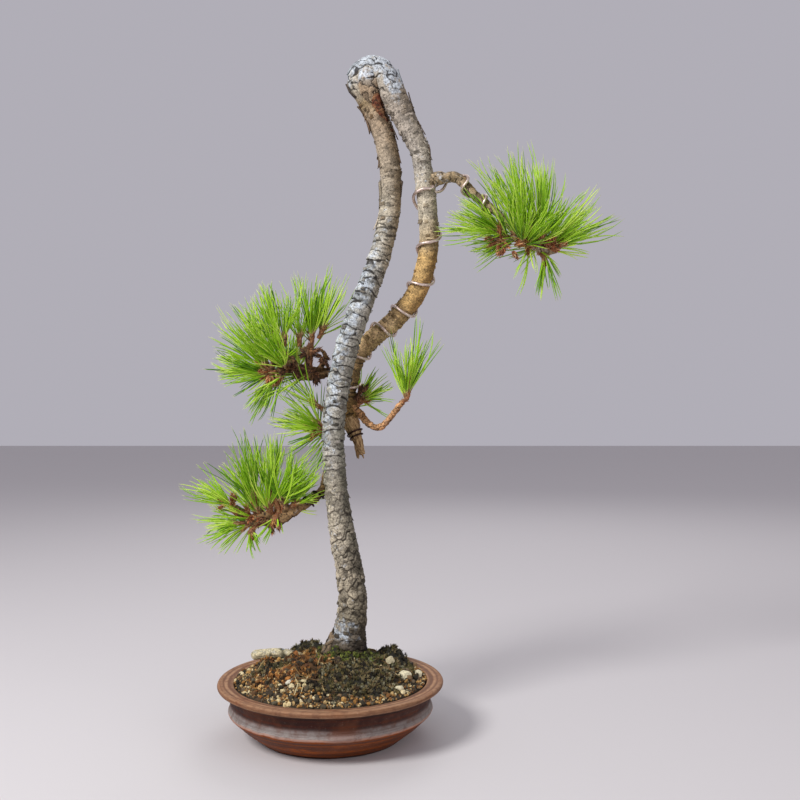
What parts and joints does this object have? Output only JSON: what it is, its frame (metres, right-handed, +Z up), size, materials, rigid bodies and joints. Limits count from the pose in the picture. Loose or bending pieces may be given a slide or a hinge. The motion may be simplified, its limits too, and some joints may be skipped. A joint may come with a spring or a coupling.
{
  "type": "pine bonsai in a pot",
  "caption": "Tall slender pine bonsai whose trunk folds over at the top and falls back behind itself, wired for training, growing in a shallow round stoneware pot.",
  "frame": {"origin": "centre of the pot's flat underside, where it stands on the table", "axes": "+Z up along the tree; +X towards the side that the upper branch reaches to; the viewer of the tree's front stands on the -Y side and looks along +Y"},
  "size_m": [0.3511, 0.18, 0.5396],
  "materials": {
    "stoneware": "satin",
    "screen": "matte",
    "soil": "matte",
    "moss": "matte",
    "grit": "matte",
    "bark": "matte",
    "twig": "matte",
    "wire": "satin",
    "dark_wire": "satin",
    "needle": "satin"
  },
  "bodies": {
    "root": {"pot": "stoneware", "drain_screen_1": "screen", "drain_screen_2": "screen", "drain_screen_3": "screen", "soil": "soil", "moss_trunk_foot": "moss", "moss_right_mound": "moss", "moss_left_mound": "moss", "moss_front": "moss", "moss_left": "moss", "stone_1": "grit", "stone_2": "grit", "stone_3": "grit", "stone_4": "grit", "stone_5": "grit", "trunk": "bark", "branch_upper_right": "twig", "branch_upper_left": "twig", "branch_lower_left": "twig", "branch_lower_right": "twig", "training_wire": "wire", "collar_wire": "dark_wire", "lower_branch_wire": "wire", "shoot_upper_right_a": "needle", "shoot_upper_right_b": "needle", "shoot_upper_right_c": "needle", "shoot_upper_right_d": "needle", "shoot_upper_right_e": "needle", "shoot_upper_right_f": "needle", "shoot_upper_right_g": "needle", "shoot_upper_right_h": "needle", "shoot_upper_left_a": "needle", "shoot_upper_left_b": "needle", "shoot_upper_left_c": "needle", "shoot_upper_left_d": "needle", "shoot_upper_left_e": "needle", "shoot_upper_left_f": "needle", "shoot_upper_left_g": "needle", "shoot_middle_left": "needle", "shoot_lower_left_a": "needle", "shoot_lower_left_b": "needle", "shoot_lower_left_c": "needle", "shoot_lower_left_d": "needle", "shoot_lower_left_e": "needle", "shoot_lower_left_f": "needle", "shoot_lower_left_g": "needle", "shoot_lower_right": "needle", "shoot_behind_trunk": "needle"}
  },
  "joints": []
}
